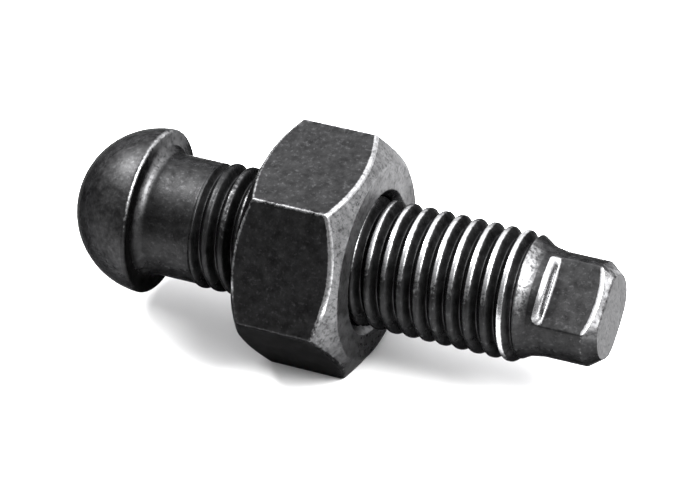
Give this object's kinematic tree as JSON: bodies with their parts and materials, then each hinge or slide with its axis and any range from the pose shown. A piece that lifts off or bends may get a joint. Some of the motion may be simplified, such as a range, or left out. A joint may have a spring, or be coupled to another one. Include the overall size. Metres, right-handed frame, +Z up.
{
  "type": "tool holder height screw with lock nut",
  "caption": "Right-hand height-adjusting screw with a domed head, plain neck, full thread and an end with two wrench flats, carrying a chamfered hexagon lock nut.",
  "frame": {"origin": "on the screw's axis, halfway along the screw, which is the centre of the whole object's box", "axes": "+X along the screw from the domed head to the flatted end, +Z up through one flat of the nut, +Y across to a corner of the nut"},
  "size_m": [0.0416, 0.0184, 0.016],
  "materials": {
    "screw_steel": "black oxide on turned and rolled steel, bright where the thread crests and edges have worn",
    "nut_steel": "black oxide on steel, worn bright along the chamfer edges and on the outer face"
  },
  "bodies": {
    "screw": {"adjusting_screw": "screw_steel"},
    "nut": {"lock_nut": "nut_steel"}
  },
  "joints": [
    {"name": "nut_travel", "type": "slide", "parent": "screw", "child": "nut", "axis": [1, 0, 0], "range_m": [-0.00381, 0.01143]}
  ]
}
